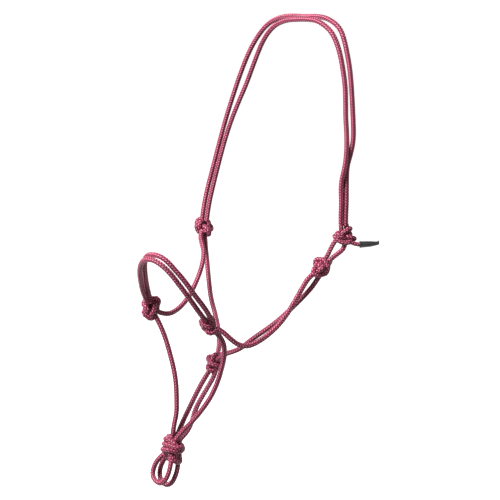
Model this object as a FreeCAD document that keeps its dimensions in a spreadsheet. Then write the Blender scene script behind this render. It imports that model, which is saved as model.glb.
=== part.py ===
import FreeCAD, Part

import math
import os

# A rope halter for a horse: one braided cord, knotted into a crown, a noseband and a chin piece.
# Millimetres, +Z up, the horse faces -Y and its left side is +X.
# The origin is the poll: the middle of the crown's pair of strands, where the halter hangs from the head.

SIZES = {
    "cord_diameter": 6.0,
    "joint_gap": 0.45,
    "cheek_knot_radius": 12.0,
    "nose_knot_radius": 13.0,
    "throat_knot_radius": 12.0,
    "fiador_knot_radius": 16.0,
    "tie_knot_radius": 14.5,
    "cheek_half_width": 121.0,
    "cheek_setback": -71.0,
    "right_cheek_level": -316.0,
    "left_cheek_level": -322.0,
    "nose_half_width": 60.0,
    "nose_setback": -229.0,
    "right_nose_level": -389.0,
    "left_nose_level": -383.0,
    "throat_setback": -162.0,
    "throat_level": -474.0,
    "fiador_setback": -247.0,
    "fiador_level": -578.0,
    "tie_across": 132.0,
    "tie_setback": -40.0,
    "tie_level": -281.0,
    "sleeve_half_width": 7.2,
    "sleeve_half_height": 4.0,
    "sleeve_tip_half_width": 5.4,
    "sleeve_tip_half_height": 1.9,
}

# Each knot is a ball. Its centre is x, y and z, as expressions in the cells above.
KNOTS = {
    "right_cheek_knot": ("-cheek_half_width", "cheek_setback", "right_cheek_level", "cheek_knot_radius"),
    "left_cheek_knot": ("cheek_half_width", "cheek_setback", "left_cheek_level", "cheek_knot_radius"),
    "right_nose_knot": ("-nose_half_width", "nose_setback", "right_nose_level", "nose_knot_radius"),
    "left_nose_knot": ("nose_half_width", "nose_setback", "left_nose_level", "nose_knot_radius"),
    "throat_knot": ("0", "throat_setback", "throat_level", "throat_knot_radius"),
    "fiador_knot": ("0", "fiador_setback", "fiador_level", "fiador_knot_radius"),
    "tie_knot": ("tie_across", "tie_setback", "tie_level", "tie_knot_radius"),
}

# Each strand's route, from inside its first knot to inside its last.
ROUTES = {
    "crown_strand_outer": [
        (-125, -70, -311), (-129, -64, -297), (-131, -54, -268), (-129, -43, -234), (-126, -31, -194),
        (-120, -23, -158), (-112, -15, -122), (-103, -9, -90), (-91, -4, -59), (-78, -1, -37),
        (-60, 2, -16), (-39, 4, -5), (-15, 4, 0), (10, 4, 1), (32, 4, 4),
        (50, 4, 4), (66, 4, -1), (79, 3, -9), (88, 1, -23), (95, -1, -39),
        (102, -3, -58), (109, -7, -80), (115, -11, -103), (120, -14, -128), (124, -17, -152),
        (122, -20, -172), (119, -24, -190), (124, -30, -210), (129, -34, -236), (131, -37, -258),
        (133, -38, -277),
    ],
    "crown_strand_inner": [
        (-118, -67, -310), (-121, -60, -288), (-121, -50, -258), (-119, -39, -222), (-115, -30, -188),
        (-108, -23, -158), (-98, -18, -131), (-89, -12, -106), (-81, -8, -82), (-72, -6, -60),
        (-62, -5, -40), (-49, -4, -23), (-34, -4, -12), (-15, -4, -5), (6, -4, -2),
        (24, -4, 0), (41, -4, 0), (56, -4, -5), (69, -4, -13), (79, -4, -27),
        (87, -5, -44), (93, -6, -63), (99, -8, -83), (103, -11, -104), (108, -16, -125),
        (114, -20, -145), (120, -26, -165), (123, -32, -187), (120, -37, -211), (124, -40, -237),
        (125, -42, -258), (127, -43, -277),
    ],
    "eye_loop_front_leg": [
        (118, -66, -315), (121, -63, -309), (122, -58, -300), (124, -52, -290), (127, -47, -284),
    ],
    "eye_loop_rear_leg": [
        (124, -64, -317), (127, -59, -311), (132, -52, -305), (137, -46, -298), (135, -42, -289),
    ],
    "right_cheek_strand": [
        (-117, -76, -320), (-114, -84, -327), (-105, -90, -335), (-94, -96, -342), (-86, -104, -351),
        (-79, -115, -363), (-72, -130, -375), (-65, -147, -387), (-58, -166, -396), (-54, -187, -403),
        (-53, -204, -404), (-57, -217, -399), (-60, -224, -394),
    ],
    "left_cheek_strand": [
        (66, -226, -385), (75, -220, -390), (83, -214, -400), (90, -205, -410), (98, -193, -413),
        (104, -175, -407), (109, -155, -396), (112, -136, -381), (113, -120, -364), (113, -104, -347),
        (114, -92, -334), (118, -79, -327),
    ],
    "right_throat_strand": [
        (-119, -73, -323), (-114, -74, -331), (-107, -80, -344), (-98, -86, -358), (-86, -95, -375),
        (-76, -102, -392), (-64, -110, -408), (-50, -116, -423), (-36, -124, -436), (-23, -133, -449),
        (-12, -144, -460), (-4, -155, -468),
    ],
    "left_throat_strand": [
        (4, -163, -470), (16, -168, -460), (33, -174, -448), (50, -177, -439), (64, -175, -431),
        (74, -165, -418), (84, -152, -407), (94, -138, -395), (102, -124, -382), (108, -112, -371),
        (112, -98, -360), (117, -85, -347), (121, -75, -331),
    ],
    "right_chin_strand": [
        (-56, -229, -395), (-51, -228, -402), (-44, -226, -414), (-37, -224, -430), (-29, -224, -449),
        (-21, -224, -470), (-14, -226, -491), (-9, -230, -512), (-6, -233, -532), (-7, -238, -550),
        (-6, -242, -567),
    ],
    "left_chin_strand": [
        (59, -227, -389), (61, -215, -399), (63, -206, -415), (62, -204, -434), (59, -207, -453),
        (54, -210, -474), (48, -217, -495), (38, -224, -515), (25, -231, -535), (12, -239, -552),
        (5, -247, -567),
    ],
    "right_fiador_strand": [
        (-3, -164, -478), (-3, -173, -486), (-4, -187, -501), (-4, -201, -518), (-4, -213, -534),
        (-5, -224, -550), (-3, -238, -569),
    ],
    "left_fiador_strand": [
        (4, -165, -478), (6, -169, -488), (5, -181, -503), (4, -195, -518), (3, -206, -533),
        (6, -215, -547), (7, -225, -560), (4, -239, -570),
    ],
    "noseband_strand_front": [
        (60, -235, -377), (60, -242, -368), (57, -250, -355), (52, -260, -337), (45, -269, -320),
        (37, -277, -304), (27, -283, -293), (14, -286, -288), (0, -286, -290), (-13, -282, -296),
        (-24, -277, -306), (-36, -269, -321), (-47, -258, -341), (-56, -247, -361), (-60, -235, -382),
    ],
    "noseband_strand_rear": [
        (64, -231, -374), (67, -237, -364), (64, -245, -350), (58, -256, -332), (50, -265, -313),
        (40, -273, -298), (31, -278, -287), (19, -281, -282), (4, -280, -284), (-12, -276, -290),
        (-23, -270, -300), (-34, -262, -316), (-45, -251, -337), (-55, -240, -357), (-60, -230, -379),
    ],
    "front_lead_loop": [
        (-7, -252, -586), (-12, -259, -592), (-18, -264, -603), (-20, -268, -615), (-15, -272, -623),
        (-1, -273, -627), (9, -271, -620), (12, -266, -608), (11, -261, -596), (6, -255, -586),
    ],
    "rear_lead_loop": [
        (-8, -243, -588), (-13, -248, -597), (-18, -252, -607), (-19, -256, -618), (-14, -260, -628),
        (0, -262, -633), (10, -259, -627), (14, -255, -615), (14, -250, -602), (8, -244, -588),
    ],
}

# The tail's middle line, from inside the tie knot to the sleeve's tip, and how far each strand lies from it.
TAIL = [(137, -41, -288), (143, -36, -292), (149, -30, -294), (156, -24, -294), (163, -18, -293)]
TAIL_ASIDE = (2.3, -2.3, 1.0)
SLEEVE_MOUTH = FreeCAD.Vector(150, -29.5, -293.9)
SLEEVE_TIP = FreeCAD.Vector(170, -12, -291.5)

# The knots at each strand's ends. A free end is one that turns against its knot, so it stands off by joint_gap.
ENDS = {
    "crown_strand_outer": [("right_cheek_knot", "free"), ("tie_knot", "fast")],
    "crown_strand_inner": [("right_cheek_knot", "free"), ("tie_knot", "fast")],
    "eye_loop_front_leg": [("left_cheek_knot", "free"), ("tie_knot", "fast")],
    "eye_loop_rear_leg": [("left_cheek_knot", "free"), ("tie_knot", "fast")],
    "right_cheek_strand": [("right_cheek_knot", "fast"), ("right_nose_knot", "fast")],
    "left_cheek_strand": [("left_nose_knot", "fast"), ("left_cheek_knot", "fast")],
    "right_throat_strand": [("right_cheek_knot", "fast"), ("throat_knot", "free")],
    "left_throat_strand": [("throat_knot", "free"), ("left_cheek_knot", "fast")],
    "right_chin_strand": [("right_nose_knot", "free"), ("fiador_knot", "fast")],
    "left_chin_strand": [("left_nose_knot", "free"), ("fiador_knot", "fast")],
    "right_fiador_strand": [("throat_knot", "fast"), ("fiador_knot", "fast")],
    "left_fiador_strand": [("throat_knot", "fast"), ("fiador_knot", "fast")],
    "noseband_strand_front": [("left_nose_knot", "free"), ("right_nose_knot", "free")],
    "noseband_strand_rear": [("left_nose_knot", "free"), ("right_nose_knot", "free")],
    "front_lead_loop": [("fiador_knot", "free")],
    "rear_lead_loop": [("fiador_knot", "free")],
    "tail_strand_front": [("tie_knot", "free")],
    "tail_strand_rear": [("tie_knot", "free")],
}

RUN_SHARE = 0.45
VOLUME_MATCH = 0.01

doc = FreeCAD.newDocument("rope_halter")
sheet = doc.addObject("Spreadsheet::Sheet", "Sizes")
for row, (alias, value) in enumerate(SIZES.items(), start=1):
    sheet.set(f"A{row}", alias)
    sheet.set(f"B{row}", str(value))
    sheet.setAlias(f"B{row}", alias)
doc.recompute()


def cell(expression):
    """An expression in the sheet's aliases, with each alias given its sheet."""
    for alias in sorted(SIZES, key=len, reverse=True):
        expression = expression.replace(alias, f"Sizes.{alias}")
    return expression


def add(kind, label, expressions=None, **values):
    """A document object with a Label, plain property values and sizes bound to the sheet."""
    made = doc.addObject(kind, label)
    made.Label = label
    for name, value in values.items():
        setattr(made, name, value)
    for name, expression in (expressions or {}).items():
        made.setExpression(name, expression)
    return made


def ball(label, knot, extra=""):
    """A sphere at a knot's centre, with the knot's radius or a little more."""
    x, y, z, radius = KNOTS[knot]
    places = {"Radius": cell(radius) + extra}
    for axis, expression in zip("xyz", (x, y, z)):
        places[f"Placement.Base.{axis}"] = cell(expression)
    return add("Part::Sphere", label, places)


def turned_to(direction):
    """The rotation that carries +Z to a direction."""
    return FreeCAD.Rotation(FreeCAD.Vector(0, 0, 1), direction)


def runs_and_arcs(points):
    """Straight runs joined by tangent arcs, each as large as its two runs allow. Returns edges and radii."""
    points = [FreeCAD.Vector(*point) for point in points]
    edges = []
    radii = []
    reached = points[0]
    for before, corner, after in zip(points, points[1:], points[2:]):
        back = (before - corner).normalize()
        ahead = (after - corner).normalize()
        turn = math.pi - back.getAngle(ahead)
        room = RUN_SHARE * min((before - corner).Length, (after - corner).Length)
        radius = room / math.tan(turn / 2)
        start = corner + back * room
        end = corner + ahead * room
        inward = (back + ahead).normalize()
        middle = corner + inward * (radius / math.cos(turn / 2) - radius)
        edges.append(Part.LineSegment(reached, start).toShape())
        edges.append(Part.Arc(start, middle, end).toShape())
        radii.append(radius)
        reached = end
    edges.append(Part.LineSegment(reached, points[-1]).toShape())
    return edges, radii


def tube(label, points):
    """A round cord along runs and arcs, with its volume held against its section times its length."""
    edges, radii = runs_and_arcs(points)
    path = doc.addObject("Part::Feature", label + "_path")
    path.Shape = Part.Wire(edges)
    ahead = FreeCAD.Vector(*points[1]) - FreeCAD.Vector(*points[0])
    section = add("Part::Circle", label + "_section", {"Radius": cell("cord_diameter") + " / 2"})
    section.Placement = FreeCAD.Placement(FreeCAD.Vector(*points[0]), turned_to(ahead))
    names = [f"Edge{number}" for number in range(1, len(edges) + 1)]
    swept = add("Part::Sweep", label + "_tube", Sections=[section], Spine=(path, names), Solid=True)
    doc.recompute()
    length = path.Shape.Length
    expected = math.pi * (SIZES["cord_diameter"] / 2) ** 2 * length
    share = swept.Shape.Volume / expected
    print(f"{label}: length {length:.0f}, smallest radius {min(radii):.0f}, volume share {share:.4f}")
    if abs(share - 1) > VOLUME_MATCH:
        raise ValueError(f"{label} has the wrong volume")
    return swept


def cut_all(label, body, tools):
    """body less each tool in turn. The last cut carries the label."""
    for number, tool in enumerate(tools, start=1):
        name = label if number == len(tools) else f"{label}_cut_{number}"
        body = add("Part::Cut", name, Base=body, Tool=tool)
    return body


def strand(label, points):
    """A cord between its knots, cut by the knots at its ends."""
    tools = [knots[knot] if hold == "fast" else rooms[knot] for knot, hold in ENDS[label]]
    return cut_all(label, tube(label, points), tools)


def shifted(points, sideways):
    """Points moved by the same step."""
    return [tuple(p + s for p, s in zip(point, sideways)) for point in points]


def oval(label, centre, direction, half_width, half_height):
    """An ellipse across the sleeve, with its width along the line between the two tail strands."""
    wide = FreeCAD.Vector(*TAIL_ASIDE).normalize()
    up = direction.cross(wide).normalize()
    turn = FreeCAD.Rotation(direction.cross(up) * -1, up, direction, "ZYX")
    made = add("Part::Ellipse", label, {"MajorRadius": half_width, "MinorRadius": half_height})
    made.Placement = FreeCAD.Placement(centre, turn)
    return made


def sleeve(strands):
    """A shrunk sleeve over the two cut ends: an oval skin that narrows to a flat closed tip."""
    along = SLEEVE_TIP - SLEEVE_MOUTH
    direction = FreeCAD.Vector(along).normalize()
    stations = (
        (0.0, cell("sleeve_half_width"), cell("sleeve_half_height")),
        (0.55, cell("sleeve_half_width"), cell("sleeve_half_height")),
        (0.85, cell("(sleeve_half_width + sleeve_tip_half_width) / 2"), cell("sleeve_half_height") + " * 0.72"),
        (1.0, cell("sleeve_tip_half_width"), cell("sleeve_tip_half_height")),
    )
    ovals = [
        oval(f"sleeve_oval_{number}", SLEEVE_MOUTH + along * share, direction, wide, high)
        for number, (share, wide, high) in enumerate(stations, start=1)
    ]
    skin = add("Part::Loft", "tail_sleeve_skin", Sections=ovals, Solid=True, Ruled=False)
    return cut_all("tail_sleeve", skin, strands)


knots = {name: ball(name, name) for name in KNOTS}
rooms = {name: ball(name + "_room", name, " + " + cell("joint_gap")) for name in KNOTS}
doc.recompute()

strands = {label: strand(label, points) for label, points in ROUTES.items()}
aside = FreeCAD.Vector(*TAIL_ASIDE)
for label, sign in (("tail_strand_front", 1), ("tail_strand_rear", -1)):
    strands[label] = strand(label, shifted(TAIL, tuple(aside * sign)))
strands["tail_sleeve"] = sleeve([strands["tail_strand_front"], strands["tail_strand_rear"]])
doc.recompute()

for thing in doc.Objects:
    if "Invalid" in thing.State or "Error" in thing.State:
        raise RuntimeError(f"{thing.Label} failed: {thing.State}")

pieces = {**knots, **strands}
for label, piece in pieces.items():
    if piece.Shape.isNull() or not piece.Shape.isValid() or len(piece.Shape.Solids) != 1:
        raise RuntimeError(f"{label} is not one valid solid: {len(piece.Shape.Solids)}")

os.makedirs("parts", exist_ok=True)
for label, piece in pieces.items():
    piece.Shape.exportStep(f"parts/{label}.step")
print(len(pieces), "sub-parts written")
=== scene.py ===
import math

import bpy
import numpy as np
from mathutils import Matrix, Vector


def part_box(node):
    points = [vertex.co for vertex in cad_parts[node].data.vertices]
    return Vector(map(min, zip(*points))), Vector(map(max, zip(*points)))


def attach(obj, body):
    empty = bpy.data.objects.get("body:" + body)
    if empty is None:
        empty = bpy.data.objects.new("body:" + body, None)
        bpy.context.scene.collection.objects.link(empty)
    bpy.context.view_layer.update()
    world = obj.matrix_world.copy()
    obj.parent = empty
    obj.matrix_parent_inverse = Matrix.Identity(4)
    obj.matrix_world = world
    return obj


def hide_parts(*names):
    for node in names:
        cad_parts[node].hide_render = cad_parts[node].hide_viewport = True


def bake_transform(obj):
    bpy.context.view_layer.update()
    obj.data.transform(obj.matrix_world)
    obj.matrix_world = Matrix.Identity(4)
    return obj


# A rope halter: one braided cord, knotted seven times round a horse's head, with its two ends in a shrunk
# sleeve. Metres, +Z up, the horse faces -Y and its left side is +X. Each stretch of cord between two knots is
# a piece, and each knot is a piece made of the cords that are tied in it.

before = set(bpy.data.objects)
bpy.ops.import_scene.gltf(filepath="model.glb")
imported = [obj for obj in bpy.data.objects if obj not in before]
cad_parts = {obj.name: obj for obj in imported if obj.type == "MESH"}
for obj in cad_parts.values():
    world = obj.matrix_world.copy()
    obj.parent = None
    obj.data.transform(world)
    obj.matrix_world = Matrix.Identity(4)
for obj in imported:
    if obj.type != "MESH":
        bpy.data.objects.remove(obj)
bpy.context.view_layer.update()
MM = 0.001

# ---- camera and light ----

CAMERA_AZIMUTH = 45.0
CAMERA_ELEVATION = 18.0
CAMERA_DISTANCE = 1.9
CAMERA_LENS = 97.7
LOOK_AT = Vector((0.0248, -0.1178, -0.3102))
WORLD_STRENGTH = 0.3

# Each lamp: its azimuth and elevation in degrees, its distance and its size in metres, and its watts.
LAMPS = {
    "key": (-25.0, 48.0, 2.2, 1.0, 185.0),
    "fill": (110.0, 10.0, 2.6, 1.6, 4.0),
}

FLOOR_LEVEL = -1.5
FLOOR_RADIUS = 24.0
WALL_BEND = 12.0
WALL_HEIGHT = 40.0
WALL_RINGS = 24
WALL_SIDES = 96


def direction(azimuth, elevation):
    """The unit vector towards a place round the halter. Azimuth 0 is in front, 90 at the horse's left."""
    a = math.radians(azimuth)
    e = math.radians(elevation)
    return Vector((math.sin(a) * math.cos(e), -math.cos(a) * math.cos(e), math.sin(e)))


VIEW = np.array(direction(CAMERA_AZIMUTH, CAMERA_ELEVATION))


def aimed(name, data, azimuth, elevation, distance):
    """A camera or a lamp that faces the halter from a distance."""
    thing = bpy.data.objects.new(name, data)
    back = direction(azimuth, elevation)
    thing.location = LOOK_AT + back * distance
    thing.rotation_euler = (-back).to_track_quat("-Z", "Y").to_euler()
    bpy.context.collection.objects.link(thing)
    return thing


def camera():
    """A long lens, a little above the halter, in front of it and to its left."""
    data = bpy.data.cameras.new("camera")
    data.lens = CAMERA_LENS
    bpy.context.scene.camera = aimed("camera", data, CAMERA_AZIMUTH, CAMERA_ELEVATION, CAMERA_DISTANCE)


def studio():
    """White surroundings and two square soft lamps, the key high at the left of the view and a weak fill
    at its right."""
    world = bpy.data.worlds.new("studio")
    world.use_nodes = True
    world.node_tree.nodes["Background"].inputs["Color"].default_value = (1, 1, 1, 1)
    world.node_tree.nodes["Background"].inputs["Strength"].default_value = WORLD_STRENGTH
    bpy.context.scene.world = world
    for name, (azimuth, elevation, distance, size, watts) in LAMPS.items():
        data = bpy.data.lights.new(name, "AREA")
        data.size = size
        data.energy = watts
        aimed(name, data, azimuth, elevation, distance)
    bpy.context.scene.view_settings.view_transform = "Standard"


def floor(material):
    """A wide plain floor, well below the halter, which hangs. Its edge turns up into a tall round wall.
    The floor is one face, and rings round it follow a quarter circle and then a straight rise. Neither
    lights the halter."""
    bend = np.linspace(0, math.pi / 2, WALL_RINGS)
    radius = np.append(FLOOR_RADIUS + WALL_BEND * np.sin(bend), FLOOR_RADIUS + WALL_BEND)
    height = FLOOR_LEVEL + np.append(WALL_BEND * (1 - np.cos(bend)), WALL_HEIGHT)
    turn = np.arange(WALL_SIDES) * 2 * math.pi / WALL_SIDES
    rings = np.stack([radius[:, None] * np.cos(turn), radius[:, None] * np.sin(turn),
                      np.repeat(height[:, None], WALL_SIDES, axis=1)], axis=-1)
    facing_in = ring_quads(len(radius), WALL_SIDES)[:, [0, 3, 2, 1]]
    faces = facing_in.tolist() + [list(range(WALL_SIDES))]
    plane = added("floor", rings.reshape(-1, 3), faces, material, smooth=False)
    plane.visible_diffuse = False


# ---- sizes ----

CORD = 6.0 * MM

# Each knot's radius, and how far a stretch of cord runs into it.
KNOTS = {
    "right_cheek_knot": 12.0 * MM,
    "left_cheek_knot": 12.0 * MM,
    "right_nose_knot": 13.0 * MM,
    "left_nose_knot": 13.0 * MM,
    "throat_knot": 12.0 * MM,
    "fiador_knot": 16.0 * MM,
    "tie_knot": 14.5 * MM,
}
SUNK = 3.0 * MM

# Each stretch's route, from inside its first knot to inside its last.
ROUTES = {
    "crown_strand_outer": [
        (-0.125, -0.070, -0.311), (-0.129, -0.064, -0.297), (-0.131, -0.054, -0.268),
        (-0.129, -0.043, -0.234), (-0.126, -0.031, -0.194), (-0.120, -0.023, -0.158),
        (-0.112, -0.015, -0.122), (-0.103, -0.009, -0.090), (-0.091, -0.004, -0.059),
        (-0.078, -0.001, -0.037), (-0.060, 0.002, -0.016), (-0.039, 0.004, -0.005), (-0.015, 0.004, 0),
        (0.010, 0.004, 0.001), (0.032, 0.004, 0.004), (0.050, 0.004, 0.004), (0.066, 0.004, -0.001),
        (0.079, 0.003, -0.009), (0.088, 0.001, -0.023), (0.095, -0.001, -0.039), (0.102, -0.003, -0.058),
        (0.109, -0.007, -0.080), (0.115, -0.011, -0.103), (0.120, -0.014, -0.128),
        (0.124, -0.017, -0.152), (0.122, -0.020, -0.172), (0.119, -0.024, -0.190),
        (0.124, -0.030, -0.210), (0.1287, -0.0345, -0.236),
        (0.1305, -0.0375, -0.258), (0.1325, -0.0385, -0.277),
    ],
    "crown_strand_inner": [
        (-0.118, -0.067, -0.310), (-0.121, -0.060, -0.288), (-0.121, -0.050, -0.258),
        (-0.119, -0.039, -0.222), (-0.115, -0.030, -0.188), (-0.108, -0.023, -0.158),
        (-0.098, -0.018, -0.131), (-0.089, -0.012, -0.106), (-0.081, -0.008, -0.082),
        (-0.072, -0.006, -0.060), (-0.062, -0.005, -0.040), (-0.049, -0.004, -0.023),
        (-0.034, -0.004, -0.012), (-0.015, -0.004, -0.005), (0.006, -0.004, -0.002), (0.024, -0.004, 0),
        (0.041, -0.004, 0), (0.056, -0.004, -0.005), (0.069, -0.004, -0.013), (0.079, -0.004, -0.027),
        (0.087, -0.005, -0.044), (0.093, -0.006, -0.063), (0.099, -0.008, -0.083),
        (0.103, -0.011, -0.104), (0.108, -0.016, -0.125), (0.114, -0.020, -0.145),
        (0.120, -0.026, -0.165), (0.123, -0.032, -0.187), (0.120, -0.037, -0.211),
        (0.1244, -0.0396, -0.237), (0.1255, -0.0416, -0.258), (0.1275, -0.0426, -0.277),
    ],
    "eye_loop_front_leg": [
        (0.118, -0.066, -0.315), (0.121, -0.063, -0.309), (0.122, -0.058, -0.300),
        (0.124, -0.052, -0.290), (0.127, -0.047, -0.284),
    ],
    "eye_loop_rear_leg": [
        (0.124, -0.064, -0.317), (0.127, -0.059, -0.311), (0.132, -0.052, -0.305),
        (0.137, -0.046, -0.298), (0.135, -0.042, -0.289),
    ],
    "right_cheek_strand": [
        (-0.117, -0.076, -0.320), (-0.114, -0.084, -0.327), (-0.105, -0.090, -0.335),
        (-0.094, -0.096, -0.342), (-0.086, -0.104, -0.351), (-0.079, -0.115, -0.363),
        (-0.072, -0.130, -0.375), (-0.065, -0.147, -0.387), (-0.058, -0.166, -0.396),
        (-0.054, -0.187, -0.403), (-0.053, -0.204, -0.404), (-0.057, -0.217, -0.399),
        (-0.060, -0.224, -0.394),
    ],
    "left_cheek_strand": [
        (0.066, -0.226, -0.385), (0.075, -0.220, -0.390), (0.083, -0.214, -0.400),
        (0.090, -0.205, -0.410), (0.098, -0.193, -0.413), (0.104, -0.175, -0.407),
        (0.109, -0.155, -0.396), (0.112, -0.136, -0.381), (0.113, -0.120, -0.364),
        (0.113, -0.104, -0.347), (0.114, -0.092, -0.334), (0.118, -0.079, -0.327),
    ],
    "right_throat_strand": [
        (-0.119, -0.073, -0.323), (-0.114, -0.074, -0.331), (-0.107, -0.080, -0.344),
        (-0.098, -0.086, -0.358), (-0.086, -0.095, -0.375), (-0.076, -0.102, -0.392),
        (-0.064, -0.110, -0.408), (-0.050, -0.116, -0.423), (-0.036, -0.124, -0.436),
        (-0.023, -0.133, -0.449), (-0.012, -0.144, -0.460), (-0.004, -0.155, -0.468),
    ],
    "left_throat_strand": [
        (0.004, -0.163, -0.470), (0.016, -0.168, -0.460), (0.033, -0.174, -0.448),
        (0.050, -0.177, -0.439), (0.064, -0.175, -0.431), (0.074, -0.165, -0.418),
        (0.084, -0.152, -0.407), (0.094, -0.138, -0.395), (0.102, -0.124, -0.382),
        (0.108, -0.112, -0.371), (0.112, -0.098, -0.360), (0.117, -0.085, -0.347),
        (0.121, -0.075, -0.331),
    ],
    "right_chin_strand": [
        (-0.056, -0.229, -0.395), (-0.051, -0.228, -0.402), (-0.044, -0.226, -0.414),
        (-0.037, -0.224, -0.430), (-0.029, -0.224, -0.449), (-0.021, -0.224, -0.470),
        (-0.014, -0.226, -0.491), (-0.009, -0.230, -0.512), (-0.006, -0.233, -0.532),
        (-0.007, -0.238, -0.550), (-0.006, -0.242, -0.567),
    ],
    "left_chin_strand": [
        (0.059, -0.227, -0.389), (0.061, -0.215, -0.399), (0.063, -0.206, -0.415),
        (0.062, -0.204, -0.434), (0.059, -0.207, -0.453), (0.054, -0.210, -0.474),
        (0.048, -0.217, -0.495), (0.038, -0.224, -0.515), (0.025, -0.231, -0.535),
        (0.012, -0.239, -0.552), (0.005, -0.247, -0.567),
    ],
    "right_fiador_strand": [
        (-0.003, -0.164, -0.478), (-0.003, -0.173, -0.486), (-0.004, -0.187, -0.501),
        (-0.004, -0.201, -0.518), (-0.004, -0.213, -0.534), (-0.005, -0.224, -0.550),
        (-0.003, -0.238, -0.569),
    ],
    "left_fiador_strand": [
        (0.004, -0.165, -0.478), (0.006, -0.169, -0.488), (0.005, -0.181, -0.503),
        (0.004, -0.195, -0.518), (0.003, -0.206, -0.533), (0.006, -0.215, -0.547),
        (0.007, -0.225, -0.560), (0.004, -0.239, -0.570),
    ],
    "noseband_strand_front": [
        (0.060, -0.235, -0.377), (0.060, -0.242, -0.368), (0.057, -0.250, -0.355),
        (0.052, -0.260, -0.337), (0.045, -0.269, -0.320), (0.037, -0.277, -0.304),
        (0.027, -0.283, -0.293), (0.014, -0.286, -0.288), (0, -0.286, -0.290), (-0.013, -0.282, -0.296),
        (-0.024, -0.277, -0.306), (-0.036, -0.269, -0.321), (-0.047, -0.258, -0.341),
        (-0.056, -0.247, -0.361), (-0.060, -0.235, -0.382),
    ],
    "noseband_strand_rear": [
        (0.064, -0.231, -0.374), (0.067, -0.237, -0.364), (0.064, -0.245, -0.350),
        (0.058, -0.256, -0.332), (0.050, -0.265, -0.313), (0.040, -0.273, -0.298),
        (0.031, -0.278, -0.287), (0.019, -0.281, -0.282), (0.004, -0.280, -0.284),
        (-0.012, -0.276, -0.290), (-0.023, -0.270, -0.300), (-0.034, -0.262, -0.316),
        (-0.045, -0.251, -0.337), (-0.055, -0.240, -0.357), (-0.060, -0.230, -0.379),
    ],
    "front_lead_loop": [
        (-0.007, -0.252, -0.586), (-0.012, -0.259, -0.592), (-0.018, -0.264, -0.603),
        (-0.020, -0.268, -0.615), (-0.015, -0.272, -0.623), (-0.001, -0.273, -0.627),
        (0.009, -0.271, -0.620), (0.012, -0.266, -0.608), (0.011, -0.261, -0.596),
        (0.006, -0.255, -0.586),
    ],
    "rear_lead_loop": [
        (-0.008, -0.243, -0.588), (-0.013, -0.248, -0.597), (-0.018, -0.252, -0.607),
        (-0.019, -0.256, -0.618), (-0.014, -0.260, -0.628), (0, -0.262, -0.633), (0.010, -0.259, -0.627),
        (0.014, -0.255, -0.615), (0.014, -0.250, -0.602), (0.008, -0.244, -0.588),
    ],
}

# The middle line of the two cut ends, from inside the tie knot to inside the sleeve, and how far to its
# side the front one lies.
TAIL = [
    (0.137, -0.041, -0.288), (0.143, -0.036, -0.292), (0.149, -0.030, -0.294), (0.156, -0.024, -0.294),
    (0.163, -0.018, -0.293),
]
TAIL_ASIDE = (0.0023, -0.0023, 0.001)
TAIL_SIDES = {"tail_strand_front": 1, "tail_strand_rear": -1}
TAIL_END = 20 * MM

# Each stretch: its knots, its body, and its length between the knots' surfaces in millimetres.
STRETCHES = {
    "crown_strand_outer": ("right_cheek_knot", "tie_knot", "crown", 735),
    "crown_strand_inner": ("right_cheek_knot", "tie_knot", "crown", 705),
    "right_cheek_strand": ("right_cheek_knot", "right_nose_knot", "face", 193),
    "left_cheek_strand": ("left_nose_knot", "left_cheek_knot", "face", 199),
    "right_throat_strand": ("right_cheek_knot", "throat_knot", "face", 204),
    "left_throat_strand": ("throat_knot", "left_cheek_knot", "face", 224),
    "right_chin_strand": ("right_nose_knot", "fiador_knot", "chin", 181),
    "left_chin_strand": ("left_nose_knot", "fiador_knot", "chin", 201),
    "right_fiador_strand": ("throat_knot", "fiador_knot", "chin", 114),
    "left_fiador_strand": ("throat_knot", "fiador_knot", "chin", 116),
    "noseband_strand_front": ("left_nose_knot", "right_nose_knot", "noseband", 255),
    "noseband_strand_rear": ("left_nose_knot", "right_nose_knot", "noseband", 265),
    "front_lead_loop": ("fiador_knot", "fiador_knot", "lead_loops", 108),
    "rear_lead_loop": ("fiador_knot", "fiador_knot", "lead_loops", 115),
}

# ---- lines ----

ROUTE_ORDER = 3
ROUTE_RESOLUTION = 16
FINE_STEP = 0.25 * MM
POINT_STEP = 1.25 * MM
FEWEST_POINTS = 4


def unit(vector):
    """A vector at length 1."""
    return vector / np.linalg.norm(vector)


def centre(knot):
    """The middle of a knot."""
    low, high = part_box(knot)
    return (np.array(low) + np.array(high)) / 2


def route_line(points):
    """The smooth line that a NURBS spline with these control points draws."""
    curve = bpy.data.curves.new("route", "CURVE")
    curve.dimensions = "3D"
    curve.resolution_u = ROUTE_RESOLUTION
    spline = curve.splines.new("NURBS")
    spline.points.add(len(points) - 1)
    weighted = np.column_stack([np.array(points), np.ones(len(points))])
    spline.points.foreach_set("co", weighted.ravel())
    spline.order_u = ROUTE_ORDER
    spline.use_endpoint_u = True
    holder = bpy.data.objects.new("route", curve)
    mesh = bpy.data.meshes.new_from_object(holder)
    line = np.empty(len(mesh.vertices) * 3)
    mesh.vertices.foreach_get("co", line)
    bpy.data.meshes.remove(mesh)
    bpy.data.objects.remove(holder)
    bpy.data.curves.remove(curve)
    return line.reshape(-1, 3)


def distances(line):
    """How far along a line each of its points is."""
    steps = np.linalg.norm(np.diff(line, axis=0), axis=1)
    return np.concatenate([[0.0], np.cumsum(steps)])


def respaced(line, count):
    """The same line with a number of evenly spaced points."""
    along = distances(line)
    wanted = np.linspace(0.0, along[-1], count)
    return np.column_stack([np.interp(wanted, along, line[:, axis]) for axis in range(3)])


def evened(line, step):
    """The same line with evenly spaced points about a step apart."""
    return respaced(line, max(FEWEST_POINTS, int(round(distances(line)[-1] / step)) + 1))


def smoothed(points):
    """A rounded, evenly spaced line through the neighbourhood of a few places."""
    return evened(route_line(points), POINT_STEP)


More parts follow.
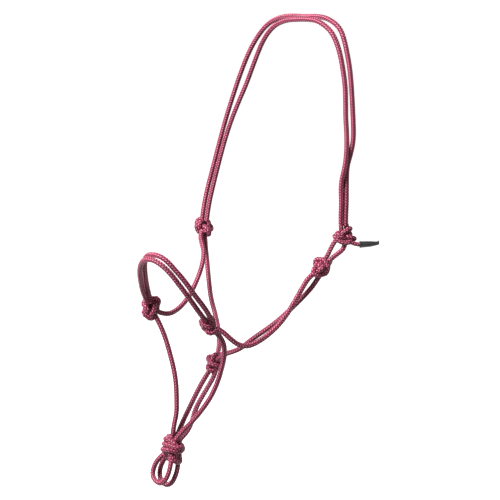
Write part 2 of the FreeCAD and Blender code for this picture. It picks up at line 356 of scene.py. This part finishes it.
def away(line, place, distance):
    """The points of a line that are farther than a distance from a place."""
    return line[np.linalg.norm(line - place, axis=1) > distance]


def outside(line, first, last):
    """The part of a line from one knot's surface to another's, and a little way into both."""
    fine = evened(line, FINE_STEP)
    half = len(fine) // 2
    begin = np.flatnonzero(np.linalg.norm(fine[:half] - centre(first), axis=1) < KNOTS[first] - SUNK)
    end = np.flatnonzero(np.linalg.norm(fine[half:] - centre(last), axis=1) < KNOTS[last] - SUNK)
    start = begin[-1] if len(begin) else 0
    stop = half + end[0] if len(end) else len(fine)
    return fine[start:stop]


def headings(line):
    """The unit vector along a line at each of its points."""
    ahead = np.gradient(line, axis=0)
    return ahead / np.linalg.norm(ahead, axis=1)[:, None]


def carried(ahead, side):
    """A unit vector across a line at each point. It starts near a side and is carried along with no twist."""
    sides = np.empty_like(ahead)
    for place, forward in enumerate(ahead):
        side = unit(side - forward * np.dot(side, forward))
        sides[place] = side
    return sides


# ---- knots ----

KNOT_CORD = 5.6 * MM
THREAD_GAP = 2.2 * MM

# A cord is held where it enters a knot, at its last few points. The free cord starts a few points on.
HELD = 3
HOLD_DEPTH = 1.0 * MM
LEFT_FREE = 2

# The pull of a knot: the cord's width grows from a share of its own to all of it over the first share of
# the rounds, and the pull follows its own course. One cord's passes push each other from some widths
# apart along it.
TIGHTEN_ROUNDS = 900
RESPACE_EVERY = 10
FIRST_WIDTH = 0.3
GROWN_AT = 0.3
PULL_AT = (0.0, 0.3, 0.4, 0.85, 1.0)
PULLS = (0.06, 0.15, 0.6, 0.6, 0.05)
STIFFNESS = 0.25
WIDTHS_APART = 1.7
NO_LENGTH = 1e-9

# The overhand's open trefoil, before it is pulled tight.
TREFOIL_SIZE = 9.5 * MM
TREFOIL_END = 1.93
TREFOIL_POINTS = 80
TREFOIL_RISE = 1.9

# Each overhand knot: the stretches that come in and go out, and whether that is their last end, then the
# knot's body and its turn in degrees.
OVERHANDS = {
    "right_cheek_knot": (
        [("crown_strand_outer", False), ("crown_strand_inner", False)],
        [("right_cheek_strand", False), ("right_throat_strand", False)], "face", 270,
    ),
    "left_cheek_knot": (
        [("eye_loop_front_leg", False), ("eye_loop_rear_leg", False)],
        [("left_cheek_strand", True), ("left_throat_strand", True)], "face", 0,
    ),
    "right_nose_knot": (
        [("noseband_strand_front", True), ("noseband_strand_rear", True)],
        [("right_cheek_strand", True), ("right_chin_strand", False)], "face", 90,
    ),
    "left_nose_knot": (
        [("noseband_strand_front", False), ("noseband_strand_rear", False)],
        [("left_cheek_strand", False), ("left_chin_strand", False)], "face", 90,
    ),
    "throat_knot": (
        [("right_throat_strand", True), ("left_throat_strand", False)],
        [("right_fiador_strand", False), ("left_fiador_strand", False)], "chin", 90,
    ),
}

# The tie knot's places, in millimetres to the right, up and outwards from its middle.
BIGHT = [(-9, -6, 1), (-8, 0, 1), (-7, 7, 0), (0, 11, 0), (6, 7, -1), (7, 0, -1), (4, -7, -1)]
TURNS = [
    (0, 15, -5), (0, 10, -6), (0, 5, -2), (3, 3, 4), (9, 1, 7), (14, -2, 1), (11, -5, -6), (1, -6, -9),
    (-9, -5, -7), (-14, -1, 0), (-10, 2, 6), (-3, -1, 5), (4, -5, 5), (10, -7, 4),
]

# The fiador knot's places: a radius in millimetres, an angle in degrees from where the cord came in, and a
# height in millimetres. Its turns lean towards the right of the view.
CLIMB = [
    (4.2, 0, 13), (4.4, 0, 6), (4.6, 5, -2), (6, 15, -8), (9.5, 45, -11), (12.5, 90, -9),
    (13.2, 150, -5), (13.4, 210, 0), (13.2, 270, 4.5), (12, 330, 8.5), (9, 365, 11), (5.5, 385, 8),
    (4.4, 390, 0), (4.4, 390, -8), (4.4, 390, -13),
]
FIADOR_INS = ("right_chin_strand", "left_chin_strand", "right_fiador_strand", "left_fiador_strand")
FIADOR_LOOPS = ("front_lead_loop", "rear_lead_loop")
FIADOR_SLANT = 0.6


def entry(knot, name, at_end):
    """A few points of a stretch's line as it comes to a knot with its last end, or with its first. The
    last of them is just inside the knot's surface."""
    fine = evened(routes[name] if at_end else routes[name][::-1], FINE_STEP)
    half = len(fine) // 2
    inside = np.linalg.norm(fine[half:] - centre(knot), axis=1) < KNOTS[knot] - HOLD_DEPTH
    stop = half + (np.argmax(inside) if inside.any() else len(fine) - 1 - half)
    stride = int(round(POINT_STEP / FINE_STEP))
    return fine[stop - stride * (HELD - 1):stop + 1:stride]


def pushes(points, near, width):
    """How far each point moves so that passes nearer than a cord's width part. The push is shared by both."""
    gap = points[:, None] - points[None]
    distance = np.sqrt((gap ** 2).sum(-1)) + NO_LENGTH
    lap = np.where(near, 0.0, np.clip(width - distance, 0.0, None))
    touching = np.maximum(1, (lap > 0).sum(1))
    return 0.5 * (gap * (lap / distance)[..., None]).sum(1) / np.sqrt(touching)[:, None]


def tighten(paths):
    """Cords pulled tight in a knot. A path is its held start, its free middle and its held end. Each
    round moves every free point towards the middle of its two neighbours, which shortens the cord, and
    towards the cubic through its four, which straightens it, and then parts the passes that lie nearer
    than a cord's width. The width grows from a thread's to the cord's before the pull grows, so that
    nothing passes through anything."""
    counts = [tuple(len(part) for part in path) for path in paths]
    spans = [np.concatenate(path) for path in paths]
    ends = np.cumsum([0] + [len(span) for span in spans])
    free = np.concatenate([np.repeat([False, True, False], count) for count in counts])
    strand = np.repeat(np.arange(len(spans)), [len(span) for span in spans])
    same = strand[:, None] == strand[None]
    points = np.concatenate(spans)
    for turn in range(TIGHTEN_ROUNDS):
        share = turn / TIGHTEN_ROUNDS
        width = KNOT_CORD * min(1.0, FIRST_WIDTH + (1 - FIRST_WIDTH) * share / GROWN_AT)
        if turn % RESPACE_EVERY == 0:
            spans = [points[a:b] for a, b in zip(ends, ends[1:])]
            for span, (start, middle, _) in zip(spans, counts):
                span[start:start + middle] = respaced(span[start - 1:start + middle + 1], middle + 2)[1:-1]
            along = np.concatenate([distances(span) for span in spans])
            apart = np.abs(along[:, None] - along[None])
            points = np.concatenate(spans)
        shorter = np.zeros_like(points)
        straighter = np.zeros_like(points)
        shorter[1:-1] = (points[:-2] + points[2:]) / 2 - points[1:-1]
        straighter[2:-2] = (4 * (points[1:-3] + points[3:-1]) - points[:-4] - points[4:]) / 6 - points[2:-2]
        moved = points + np.interp(share, PULL_AT, PULLS) * shorter + STIFFNESS * straighter
        moved += pushes(moved, same & (apart < WIDTHS_APART * width), width)
        points = np.where(free[:, None], moved, points)
    return [points[a:b] for a, b in zip(ends, ends[1:])]


def doubled(middle, starts, ends):
    """Two cords that lie side by side along a middle line with no twist between them, from two held starts to
    two held ends."""
    came = (starts[0][-1] + starts[1][-1]) / 2
    went = (ends[0][-1] + ends[1][-1]) / 2
    whole = evened(np.concatenate([[came], middle, [went]]), POINT_STEP)
    sides = carried(headings(whole), starts[0][-1] - starts[1][-1])
    threads = [whole + sides * THREAD_GAP / 2, whole - sides * THREAD_GAP / 2]
    if np.dot(threads[0][-1] - threads[1][-1], ends[0][-1] - ends[1][-1]) < 0:
        ends = ends[::-1]
    return [(start, thread[LEFT_FREE:-LEFT_FREE], end[::-1])
            for start, thread, end in zip(starts, threads, ends)]


def overhand(knot, ins, outs, turn):
    """Two cords tied side by side in one overhand knot. Their middle line is an open trefoil in t, whose
    x is t^3 - 3t, y is t^4 - 4t^2 and a rise, and z is t^5 / 5 - 2t, with x from where the pair comes in
    to where it goes out. Turn is the knot's angle about x in degrees."""
    starts = [entry(knot, *one) for one in ins]
    ends = [entry(knot, *one) for one in outs]
    x = unit(ends[0][-1] + ends[1][-1] - starts[0][-1] - starts[1][-1])
    y = unit(np.cross(VIEW, x))
    z = np.cross(x, y)
    a = math.radians(turn)
    axes = np.array([x, y * math.cos(a) + z * math.sin(a), z * math.cos(a) - y * math.sin(a)])
    t = np.linspace(-TREFOIL_END, TREFOIL_END, TREFOIL_POINTS)
    shape = np.column_stack([t ** 3 - 3 * t, t ** 4 - 4 * t ** 2 + TREFOIL_RISE, t ** 5 / 5 - 2 * t])
    middle = centre(knot) + (shape * TREFOIL_SIZE / 2) @ axes
    return tighten(doubled(middle, starts, ends))


def leg(name):
    """A leg of the eye loop, from inside the left cheek knot to the held depth of the tie knot."""
    fine = away(evened(routes[name], FINE_STEP), centre("left_cheek_knot"), KNOTS["left_cheek_knot"] - SUNK)
    return evened(away(fine, centre("tie_knot"), KNOTS["tie_knot"] - HOLD_DEPTH), POINT_STEP)


def sheet_bend():
    """The crown's pair tied to the eye loop. The eye loop's bight closes at the top. The pair comes down
    behind it, out through it, round behind its legs, and in under its own first turn to the tail."""
    right = unit(np.cross((0.0, 0.0, 1.0), VIEW))
    axes = np.array([right, np.cross(VIEW, right), VIEW])
    middle = centre("tie_knot")
    bight = smoothed(middle + np.array(BIGHT) * MM @ axes)
    pair = smoothed(middle + np.array(TURNS) * MM @ axes)
    starts = [entry("tie_knot", name, True) for name in ("crown_strand_outer", "crown_strand_inner")]
    ends = [entry("tie_knot", name, False) for name in TAIL_SIDES]
    loop = (leg("eye_loop_front_leg"), bight, leg("eye_loop_rear_leg")[::-1])
    return tighten(doubled(pair, starts, ends) + [loop])


def fiador():
    """Four cords that come in at the top and go out at the bottom. Each goes down the middle, turns out,
    climbs once round the outside of all four, turns in at the top and goes down the middle again."""
    starts = [entry("fiador_knot", name, True) for name in FIADOR_INS]
    ends = [entry("fiador_knot", name, at_end) for name in FIADOR_LOOPS for at_end in (False, True)]
    top = sum(start[-1] for start in starts) / 4
    low = sum(end[-1] for end in ends) / 4
    z = unit(top - low)
    x = unit(np.cross((0.0, 1.0, 0.0), z))
    y = np.cross(z, x)
    middle = centre("fiador_knot")

    def bearing(point):
        """The angle of a place round the knot's own axis."""
        return math.atan2(np.dot(point - middle, y), np.dot(point - middle, x))

    starts.sort(key=lambda start: bearing(start[-1]))
    ends.sort(key=lambda end: bearing(end[-1]))
    first = bearing(starts[0][-1])
    leaning = bearing(middle - np.array(direction(CAMERA_AZIMUTH + 90, 0)))
    radius, turned, height = [np.array(column)[:, None] for column in zip(*CLIMB)]
    paths = []
    for number, (start, end) in enumerate(zip(starts, ends)):
        angle = first + number * math.pi / 2 + np.radians(turned)
        slanted = height + FIADOR_SLANT * radius * np.cos(angle - leaning)
        route = middle + MM * (radius * (np.cos(angle) * x + np.sin(angle) * y) + slanted * z)
        whole = evened(np.concatenate([start[-1:], smoothed(route), end[-1:]]), POINT_STEP)
        paths.append((start, whole[LEFT_FREE:-LEFT_FREE], end[::-1]))
    return tighten(paths)


# ---- surfaces ----

# The braid: the yarns in each of its two families, how far it takes a yarn to move one place along, the
# depth of its relief and the height in it that lies on the cord's circle, and the powers that flatten a
# float's half sines.
CARRIERS = 6
PICK = 3.9 * MM
RELIEF = 0.6 * MM
RELIEF_LEVEL = 0.7
ACROSS_POWER = 0.7
ALONG_POWER = 0.45
NEXT_CORD_AHEAD = 0.37

# How far a cord's circle stands proud of its declared size, outside the knots and in them.
PROUD = 0.6 * MM
KNOT_PROUD = 0.4 * MM

RING_STEP = 0.5 * MM
AROUND = 36
CAP = 2.2 * MM
CAP_START = 0.08 * MM
POLE_HEIGHT = 0.5
POLE_MAP = (0.5, 0.5)
ASKEW = (0.31, 0.27, 0.91)

SLEEVE_MOUTH = (0.150, -0.0295, -0.2939)
SLEEVE_TIP = (0.170, -0.012, -0.2915)
SLEEVE_ROWS = 90
SLEEVE_AROUND = 48
SLEEVE_OVAL_POWER = 0.85
RIPPLE = 0.018
RIPPLES_AROUND = 5.0
RIPPLE_TWIST = 9.0
RIPPLES_ALONG = 31.0

# Along the sleeve: the share of its length, half its width and half its height in millimetres, and its rise.
SLEEVE_STATIONS = [
    (0.07, 3.0, 2.0, 0.0), (0.0, 6.4, 3.6, 0.0), (-0.01, 7.3, 4.4, 0.0), (0.04, 7.5, 4.7, 0.0),
    (0.12, 7.3, 4.5, 0.0), (0.4, 7.2, 4.3, -0.1), (0.66, 6.9, 3.7, -0.1), (0.84, 6.3, 2.9, 0.1),
    (0.92, 5.9, 2.7, 0.3), (0.96, 5.7, 3.0, 0.8), (1.0, 5.4, 2.9, 1.2), (1.02, 4.4, 2.0, 1.2),
]


def ring_quads(rings, around):
    """The faces between neighbouring rings of points."""
    ring, spoke = np.meshgrid(np.arange(rings - 1), np.arange(around), indexing="ij")
    after = (spoke + 1) % around
    here = ring * around
    there = here + around
    return np.stack([here + spoke, here + after, there + after, there + spoke], axis=-1).reshape(-1, 4)


def pole_fans(rings, around):
    """The triangles from the first ring and the last to two poles, whose points follow all of the rings'."""
    edge = np.arange(around)
    after = (edge + 1) % around
    last = (rings - 1) * around
    pole = rings * around
    return np.concatenate([
        np.column_stack([np.full(around, pole), after, edge]),
        np.column_stack([np.full(around, pole + 1), last + edge, last + after]),
    ])


def added(name, vertices, faces, material, smooth=True):
    """A new object with a mesh of its own."""
    mesh = bpy.data.meshes.new(name)
    mesh.from_pydata(vertices.tolist(), [], faces)
    mesh.polygons.foreach_set("use_smooth", np.full(len(mesh.polygons), smooth))
    mesh.materials.append(material)
    piece = bpy.data.objects.new(name, mesh)
    bpy.context.collection.objects.link(piece)
    return piece


def weave(around, along):
    """A two-over-two tubular braid. Around and along count carriers, and their sum and difference follow
    the two families of yarn. Where the whole parts of both add to 0 or 1 in a count of 4 the first family
    is on top, elsewhere the second. A float's height is a half sine across it times a half sine along it,
    both flattened. Returns the height from 0 in the grooves to 1 on the crowns."""
    first = around + along
    second = around - along
    whole = np.floor(first) + np.floor(second)
    over = np.mod(whole, 4) < 2
    across = np.where(over, first - np.floor(first), second - np.floor(second))
    length = np.where(over, np.mod(np.floor(first) + second, 4), np.mod(first + np.floor(second), 4) - 2) / 2
    return np.sin(np.pi * across) ** ACROSS_POWER * np.sin(np.pi * np.clip(length, 0, 1)) ** ALONG_POWER


def tube(line, start, proud):
    """Vertices, faces and two attributes of a braided cord along a line. Each ring is a circle in the
    line's cross frame whose radius is half the cord, and how far its yarns stand proud, less the relief's
    depth under the weave. It is drawn in as a quarter ellipse at both ends and closed on a pole. start
    counts the carriers that lie before the line's first ring."""
    line = evened(line, RING_STEP)
    along = distances(line)
    ahead = headings(line)
    side = carried(ahead, np.cross(ahead[0], ASKEW))
    up = np.cross(ahead, side)
    turn = np.arange(AROUND) / AROUND
    around, picks = np.meshgrid(turn * CARRIERS, start + along / PICK)
    height = weave(around, picks)
    from_end = np.minimum(along, along[-1] - along) + CAP_START
    drawn = np.sqrt(1 - (1 - np.clip(from_end / CAP, 0, 1)) ** 2)
    radius = (CORD / 2 + proud - RELIEF * (RELIEF_LEVEL - height)) * drawn[:, None]
    angle = 2 * np.pi * turn
    spokes = side[:, None] * np.cos(angle)[None, :, None] + up[:, None] * np.sin(angle)[None, :, None]
    rings = line[:, None] + spokes * radius[..., None]
    vertices = np.concatenate([rings.reshape(-1, 3), line[:1], line[-1:]])
    heights = np.append(height.ravel(), [POLE_HEIGHT, POLE_HEIGHT])
    quads = ring_quads(len(line), AROUND)
    fans = pole_fans(len(line), AROUND)
    low = picks[:-1, :1]
    high = picks[1:, :1]
    left = turn * CARRIERS
    right = left + CARRIERS / AROUND
    u = np.stack([left, right, right, left], axis=-1)[None].repeat(len(line) - 1, axis=0)
    v = np.stack([low, low, high, high], axis=-1).repeat(AROUND, axis=1)
    quad_map = np.stack([u, v], axis=-1).reshape(-1, 2)
    fan_map = np.tile(POLE_MAP, (len(fans) * 3, 1))
    return vertices, heights, quads, fans, quad_map, fan_map


def cord_piece(name, lines, material, proud=PROUD):
    """One mesh of braided cords, each along its own line, with a height attribute and a carriers' map."""
    made = [tube(line, NEXT_CORD_AHEAD * number, proud) for number, line in enumerate(lines)]
    vertices, heights, quads, fans, quad_maps, fan_maps = zip(*made)
    bases = np.cumsum([0] + [len(part) for part in vertices])
    faces = []
    for parts in (quads, fans):
        for part, base in zip(parts, bases):
            faces += (part + base).tolist()
    piece = added(name, np.concatenate(vertices), faces, material)
    relief = piece.data.attributes.new("relief", "FLOAT", "POINT")
    relief.data.foreach_set("value", np.concatenate(heights))
    layer = piece.data.uv_layers.new(name="carriers")
    layer.data.foreach_set("uv", np.concatenate(quad_maps + fan_maps).ravel())
    return piece


def sleeve_piece(name, material):
    """A shrunk sleeve over the two cut ends. Ovals along the line from its mouth to its tip follow the
    stations' widths, heights and rise, eased between them by cosines. The mouth turns in over the cords,
    and the tip is pinched flat and turned up. A low ripple is a sine round it, twisted along it, times a
    sine along it."""
    mouth = np.array(SLEEVE_MOUTH)
    tip = np.array(SLEEVE_TIP)
    ahead = unit(tip - mouth)
    wide = unit(np.array(TAIL_ASIDE))
    wide = unit(wide - ahead * np.dot(wide, ahead))
    up = np.cross(wide, ahead)
    stations = np.array(SLEEVE_STATIONS)
    rows = np.linspace(0, len(stations) - 1, SLEEVE_ROWS)
    whole = np.minimum(rows.astype(int), len(stations) - 2)
    share = ((1 - np.cos(np.pi * (rows - whole))) / 2)[:, None]
    eased = stations[whole] * (1 - share) + stations[whole + 1] * share
    along, half_width, half_height, rise = [column[:, None] for column in eased.T]
    angle = np.arange(SLEEVE_AROUND) * 2 * np.pi / SLEEVE_AROUND
    spread = np.sign(np.cos(angle)) * np.abs(np.cos(angle)) ** SLEEVE_OVAL_POWER
    lift = np.sign(np.sin(angle)) * np.abs(np.sin(angle)) ** SLEEVE_OVAL_POWER
    twisted = np.sin(RIPPLES_AROUND * angle[None] + RIPPLE_TWIST * along)
    ripple = 1 + RIPPLE * twisted * np.sin(RIPPLES_ALONG * along)
    across = wide * (half_width * spread * ripple)[..., None]
    raised = up * (half_height * lift * ripple + rise)[..., None]
    rings = (mouth + (tip - mouth) * along)[:, None] + MM * (across + raised)
    vertices = np.concatenate([rings.reshape(-1, 3), rings[0].mean(0)[None], rings[-1].mean(0)[None]])
    quads = ring_quads(SLEEVE_ROWS, SLEEVE_AROUND)[:, ::-1]
    fans = pole_fans(SLEEVE_ROWS, SLEEVE_AROUND)[:, ::-1]
    return added(name, vertices, quads.tolist() + fans.tolist(), material)


# ---- materials ----

# The cord's own wine colour is the mid stop. The groove and low stops are painted shade and the crown stop is
# a painted highlight, laid on by the relief's height.
CORD_GROOVE_PAINTED_SHADE = "#28020F"
CORD_LOW_PAINTED_SHADE = "#530D25"
CORD_MID = "#963A55"
CORD_CROWN_PAINTED_HIGHLIGHT = "#C87A90"
CORD_SHEEN = "#EBB0BF"
FILAMENTS = 10
FILAMENT_DEPTH = 0.04 * MM
SLEEVE_DARK = "#0B0C0C"
SLEEVE_PALE = "#191A1A"
DENTS_APART = 4 * MM
DENT_DEPTH = 0.35 * MM
SKIN_APART = 0.6 * MM
SKIN_DEPTH = 0.05 * MM
FLOOR_WHITE = "#F4F4F4"
FLOOR_GLOW = 0.7

# Patches of dye are about 11 mm apart.
DYE_SCALE = 90.0


def linear(colour):
    """An sRGB hex colour as linear RGBA."""
    parts = [int(colour[place:place + 2], 16) / 255 for place in (1, 3, 5)]
    return tuple(p / 12.92 if p <= 0.04045 else ((p + 0.055) / 1.055) ** 2.4 for p in parts) + (1.0,)


def connect(tree, made, inputs):
    """Links a node's inputs to other nodes' outputs, or sets them to values."""
    for socket, value in inputs.items():
        if isinstance(value, bpy.types.NodeSocket):
            tree.links.new(value, made.inputs[socket])
        else:
            made.inputs[socket].default_value = value


def node(tree, kind, inputs, settings=(), stops=()):
    """A node with its inputs, its settings as pairs of a name and a value, and a colour ramp's stops."""
    made = tree.nodes.new(kind)
    for name, value in settings:
        setattr(made, name, value)
    connect(tree, made, inputs)
    if stops:
        elements = made.color_ramp.elements
        while len(elements) < len(stops):
            elements.new(0.5)
        for element, (place, colour) in zip(elements, stops):
            element.position = place
            element.color = linear(colour)
    return made


def material(name):
    """A new material, its tree and its shader."""
    made = bpy.data.materials.new(name)
    made.use_nodes = True
    tree = made.node_tree
    return made, tree, tree.nodes["Principled BSDF"]


def braided_polyester():
    """Braided multifilament polyester: crimped yarns, satin, with fine filaments along each yarn. Their
    colour is painted by the relief's height: painted shade, deep wine, in the grooves and a painted
    highlight, pale, on the crowns. The map counts carriers around and along, and their sum and difference
    number the two families of yarn, as in the weave. Filaments are a tenth of a yarn apart, coarser than the
    real ones."""
    made, tree, shader = material("braided_polyester")
    relief = node(tree, "ShaderNodeAttribute", {}, [("attribute_name", "relief")]).outputs["Fac"]
    # The ramp paints shade into the grooves and a highlight onto the crowns, by the relief's height.
    yarns = node(tree, "ShaderNodeValToRGB", {"Fac": relief}, stops=[
        (0.0, CORD_GROOVE_PAINTED_SHADE), (0.5, CORD_LOW_PAINTED_SHADE), (0.8, CORD_MID), (1.0, CORD_CROWN_PAINTED_HIGHLIGHT)])
    place = node(tree, "ShaderNodeTexCoord", {}).outputs["Object"]
    dye = node(tree, "ShaderNodeTexNoise", {"Vector": place, "Scale": DYE_SCALE, "Detail": 3.0})
    shade = node(tree, "ShaderNodeMapRange", {
        "Value": dye.outputs["Fac"], "From Min": 0.3, "From Max": 0.7, "To Min": 0.86, "To Max": 1.12})
    colour = node(tree, "ShaderNodeHueSaturation", {
        "Color": yarns.outputs["Color"], "Value": shade.outputs["Result"]})
    carriers = node(tree, "ShaderNodeUVMap", {}, [("uv_map", "carriers")])
    split = node(tree, "ShaderNodeSeparateXYZ", {"Vector": carriers.outputs["UV"]})
    counted = {0: split.outputs["X"], 1: split.outputs["Y"]}
    first = node(tree, "ShaderNodeMath", counted, [("operation", "ADD")]).outputs[0]
    second = node(tree, "ShaderNodeMath", counted, [("operation", "SUBTRACT")]).outputs[0]
    first_whole = node(tree, "ShaderNodeMath", {0: first}, [("operation", "FLOOR")]).outputs[0]
    second_whole = node(tree, "ShaderNodeMath", {0: second}, [("operation", "FLOOR")]).outputs[0]
    whole = node(tree, "ShaderNodeMath", {0: first_whole, 1: second_whole}, [("operation", "ADD")]).outputs[0]
    count = node(tree, "ShaderNodeMath", {0: whole, 1: 4.0}, [("operation", "FLOORED_MODULO")]).outputs[0]
    over = node(tree, "ShaderNodeMath", {0: count, 1: 2.0}, [("operation", "LESS_THAN")]).outputs[0]
    across = node(tree, "ShaderNodeMix", {"Factor": over, "A": second, "B": first}).outputs["Result"]
    turns = {0: across, 1: FILAMENTS * 2 * math.pi}
    phase = node(tree, "ShaderNodeMath", turns, [("operation", "MULTIPLY")]).outputs[0]
    filaments = node(tree, "ShaderNodeMath", {0: phase}, [("operation", "SINE")]).outputs[0]
    bump = node(tree, "ShaderNodeBump", {"Height": filaments, "Distance": FILAMENT_DEPTH, "Strength": 0.6})
    connect(tree, shader, {
        "Base Color": colour.outputs["Color"], "Normal": bump.outputs["Normal"], "Roughness": 0.48,
        "Sheen Weight": 0.12, "Sheen Tint": linear(CORD_SHEEN), "Sheen Roughness": 0.4,
        "Specular IOR Level": 0.2})
    return made


def shrunk_polyolefin():
    """Heat-shrunk polyolefin sleeve: charcoal and satin, with low dents a few millimetres apart where it
    gripped the cords, and a fine orange-peel skin."""
    made, tree, shader = material("shrunk_polyolefin")
    place = node(tree, "ShaderNodeTexCoord", {}).outputs["Object"]
    dents = node(tree, "ShaderNodeTexNoise", {"Vector": place, "Scale": 1 / DENTS_APART, "Detail": 2.0})
    skin = node(tree, "ShaderNodeTexNoise", {"Vector": place, "Scale": 1 / SKIN_APART, "Detail": 4.0})
    rough = node(tree, "ShaderNodeMapRange", {"Value": skin.outputs["Fac"], "To Min": 0.34, "To Max": 0.52})
    colour = node(tree, "ShaderNodeValToRGB", {"Fac": dents.outputs["Fac"]}, stops=[
        (0.3, SLEEVE_DARK), (0.7, SLEEVE_PALE)])
    low = node(tree, "ShaderNodeBump", {
        "Height": dents.outputs["Fac"], "Distance": DENT_DEPTH, "Strength": 0.7})
    fine = node(tree, "ShaderNodeBump", {
        "Height": skin.outputs["Fac"], "Distance": SKIN_DEPTH, "Strength": 0.5,
        "Normal": low.outputs["Normal"]})
    connect(tree, shader, {
        "Base Color": colour.outputs["Color"], "Roughness": rough.outputs["Result"],
        "Normal": fine.outputs["Normal"], "Specular IOR Level": 0.3})
    return made


def white_board():
    """Matt white board that is lit from all round."""
    made, tree, shader = material("white_board")
    connect(tree, shader, {
        "Base Color": linear(FLOOR_WHITE), "Roughness": 0.9, "Emission Color": (1, 1, 1, 1),
        "Emission Strength": FLOOR_GLOW})
    return made


# ---- the halter ----


def piece_name(stretch):
    """A cord piece's own name, which differs from its CAD node's."""
    return stretch.replace("strand", "cord").replace("loop", "loop_cord")


def finished(piece, body, *nodes):
    """Gives a piece of cord its body and hides the CAD nodes that it stands for."""
    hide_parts(*nodes)
    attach(piece, body)


camera()
studio()
floor(white_board())
cord_finish = braided_polyester()
sleeve_finish = shrunk_polyolefin()

routes = {name: route_line(points) for name, points in ROUTES.items()}
for name, sign in TAIL_SIDES.items():
    routes[name] = route_line(np.array(TAIL) + sign * np.array(TAIL_ASIDE))

for name, (first, last, body, length) in STRETCHES.items():
    line = outside(routes[name], first, last)
    piece = cord_piece(piece_name(name), [line], cord_finish)
    if "throat" in name:
        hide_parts(name)
        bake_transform(piece)
    else:
        finished(piece, body, name)

for knot, (ins, outs, body, turn) in OVERHANDS.items():
    tied = overhand(knot, ins, outs, turn)
    finished(cord_piece(knot + "_cords", tied, cord_finish, KNOT_PROUD), body, knot)
finished(cord_piece("fiador_knot_cords", fiador(), cord_finish, KNOT_PROUD), "chin", "fiador_knot")
finished(cord_piece("tie_knot_cords", sheet_bend(), cord_finish, KNOT_PROUD), "crown", "tie_knot",
         "eye_loop_front_leg", "eye_loop_rear_leg")

tails = []
for name in TAIL_SIDES:
    line = away(evened(routes[name], FINE_STEP), centre("tie_knot"), KNOTS["tie_knot"] - SUNK)
    tails.append(away(line, np.array(SLEEVE_TIP), TAIL_END))
finished(cord_piece("tail_cords", tails, cord_finish, 0.0), "tie_tail", "tail_strand_front",
         "tail_strand_rear")

sleeve = sleeve_piece("tail_sleeve_skin", sleeve_finish)
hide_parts("tail_sleeve")
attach(sleeve, "tie_tail")
